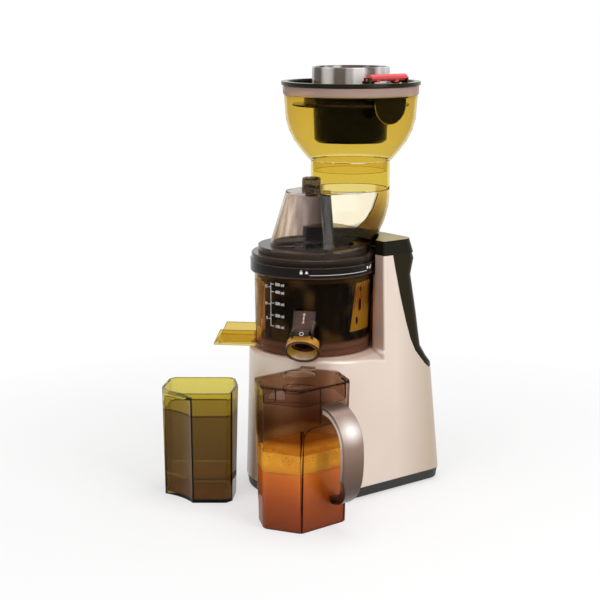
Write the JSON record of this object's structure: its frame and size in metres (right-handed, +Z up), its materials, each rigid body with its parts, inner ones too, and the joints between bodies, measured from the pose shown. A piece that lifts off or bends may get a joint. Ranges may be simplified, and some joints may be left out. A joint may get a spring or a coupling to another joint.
{
  "type": "vertical cold press juicer",
  "caption": "Tower juicer with a tinted drum and elbow lid, wide hopper with a tipping feed cup, covered juice jug with handle and open pulp cup.",
  "frame": {"origin": "on the table, under the middle of the whole set's bounding box", "axes": "+Z up, -Y the front of the machine, +X its right hand side seen from the front; the drum axis stands at x -0.0381, y 0.0154"},
  "size_m": [0.2776, 0.3132, 0.4978],
  "materials": {
    "champagne": "satin metallic",
    "black_gloss": "gloss",
    "black_matte": "matte",
    "rubber": "matte",
    "steel": "brushed",
    "copper": "enamelled wire",
    "nylon": "smooth",
    "board": "coated",
    "amber": "clear tinted",
    "smoke": "clear tinted",
    "silicone": "silicone",
    "red": "gloss",
    "rose_metal": "satin metallic",
    "auger_black": "gloss",
    "cup_olive": "clear tinted"
  },
  "bodies": {
    "base": {"housing": "champagne", "back_panel": "black_gloss", "tower_cap": "black_gloss", "base_skirt": "black_matte", "bottom_cover": "black_matte", "rubber_feet": "rubber", "cover_screws": "steel", "motor_cradle": "nylon", "motor_stator": "steel", "motor_windings": "copper", "gearbox_case": "nylon", "gearbox_posts": "nylon", "shaft_bearing": "steel", "control_board": "board", "board_capacitor": "black_matte", "switch_bezel": "black_gloss", "rocker_pin": "steel", "power_inlet": "black_matte", "inlet_pins": "steel", "drum": "smoke", "drum_seal": "silicone", "spout_rail": "smoke", "pulp_plug": "silicone", "planet_post": "steel", "strainer": "auger_black", "strainer_mesh": "steel", "lid": "smoke", "neck_tube": "amber", "auger_bush": "auger_black", "lid_seal": "silicone", "lid_plug": "auger_black", "hopper_bowl": "amber", "hopper_ring": "black_gloss", "hinge_block": "black_gloss", "hinge_pin": "steel"},
    "auger_group": {"auger": "auger_black", "drive_shaft": "steel", "output_gear": "steel"},
    "idler": {"idler_gear": "nylon"},
    "rotor": {"motor_rotor": "steel"},
    "planet": {"planet_gear": "nylon"},
    "brush": {"brush_holder": "auger_black", "brush_blades": "silicone"},
    "ring": {"lock_ring": "auger_black"},
    "feeder": {"feed_cup": "smoke"},
    "latch": {"feed_latch": "red"},
    "gate": {"spout_gate": "auger_black"},
    "rocker": {"switch_rocker": "black_gloss"},
    "jug": {"jug_body": "smoke", "handle_cap": "rose_metal", "handle_core": "black_gloss", "jug_lid": "smoke"},
    "cup": {"pulp_cup": "cup_olive"}
  },
  "joints": [
    {"name": "auger_spin", "type": "hinge", "parent": "base", "child": "auger_group", "pos_m": [-0.0381, 0.01536, 0.2], "axis": [0, 0, 1], "continuous": true},
    {"name": "idler_spin", "type": "hinge", "parent": "base", "child": "idler", "pos_m": [-0.0081, 0.01536, 0.1], "axis": [0, 0, 1], "continuous": true},
    {"name": "rotor_spin", "type": "hinge", "parent": "base", "child": "rotor", "pos_m": [-0.0381, 0.01536, 0.05], "axis": [0, 0, 1], "continuous": true},
    {"name": "planet_spin", "type": "hinge", "parent": "base", "child": "planet", "pos_m": [-0.0131, 0.01536, 0.184], "axis": [0, 0, 1], "continuous": true},
    {"name": "brush_spin", "type": "hinge", "parent": "base", "child": "brush", "pos_m": [-0.0381, 0.01536, 0.184], "axis": [0, 0, 1], "continuous": true},
    {"name": "ring_turn", "type": "hinge", "parent": "base", "child": "ring", "pos_m": [-0.0381, 0.01536, 0.27], "axis": [0, 0, 1], "range_deg": [0, 50]},
    {"name": "feeder_tip", "type": "hinge", "parent": "base", "child": "feeder", "pos_m": [0.0139, 0.07136, 0.478], "axis": [0, 1, 0], "range_deg": [0, 50]},
    {"name": "latch_rock", "type": "hinge", "parent": "base", "child": "latch", "pos_m": [0.0259, 0.07136, 0.485], "axis": [0, -1, 0], "range_deg": [0, 12]},
    {"name": "gate_slide", "type": "slide", "parent": "base", "child": "gate", "axis": [0.5572, -0.5572, -0.6157], "range_m": [0, 0.006]},
    {"name": "rocker_tilt", "type": "hinge", "parent": "base", "child": "rocker", "pos_m": [-0.0741, 0.14804, 0.084], "axis": [1, 0, 0], "range_deg": [-10, 10]},
    {"name": "jug_pull", "type": "slide", "parent": "base", "child": "jug", "axis": [0.7071, -0.7071, 0], "range_m": [0, 0.12]},
    {"name": "cup_pull", "type": "slide", "parent": "base", "child": "cup", "axis": [-0.6088, -0.7934, 0], "range_m": [0, 0.12]}
  ],
  "couplings": [
    {"joint": "idler_spin", "follows": "auger_spin", "ratio": -4},
    {"joint": "rotor_spin", "follows": "auger_spin", "ratio": 16},
    {"joint": "planet_spin", "follows": "auger_spin", "ratio": -1.5},
    {"joint": "brush_spin", "follows": "auger_spin", "ratio": -0.42857}
  ]
}
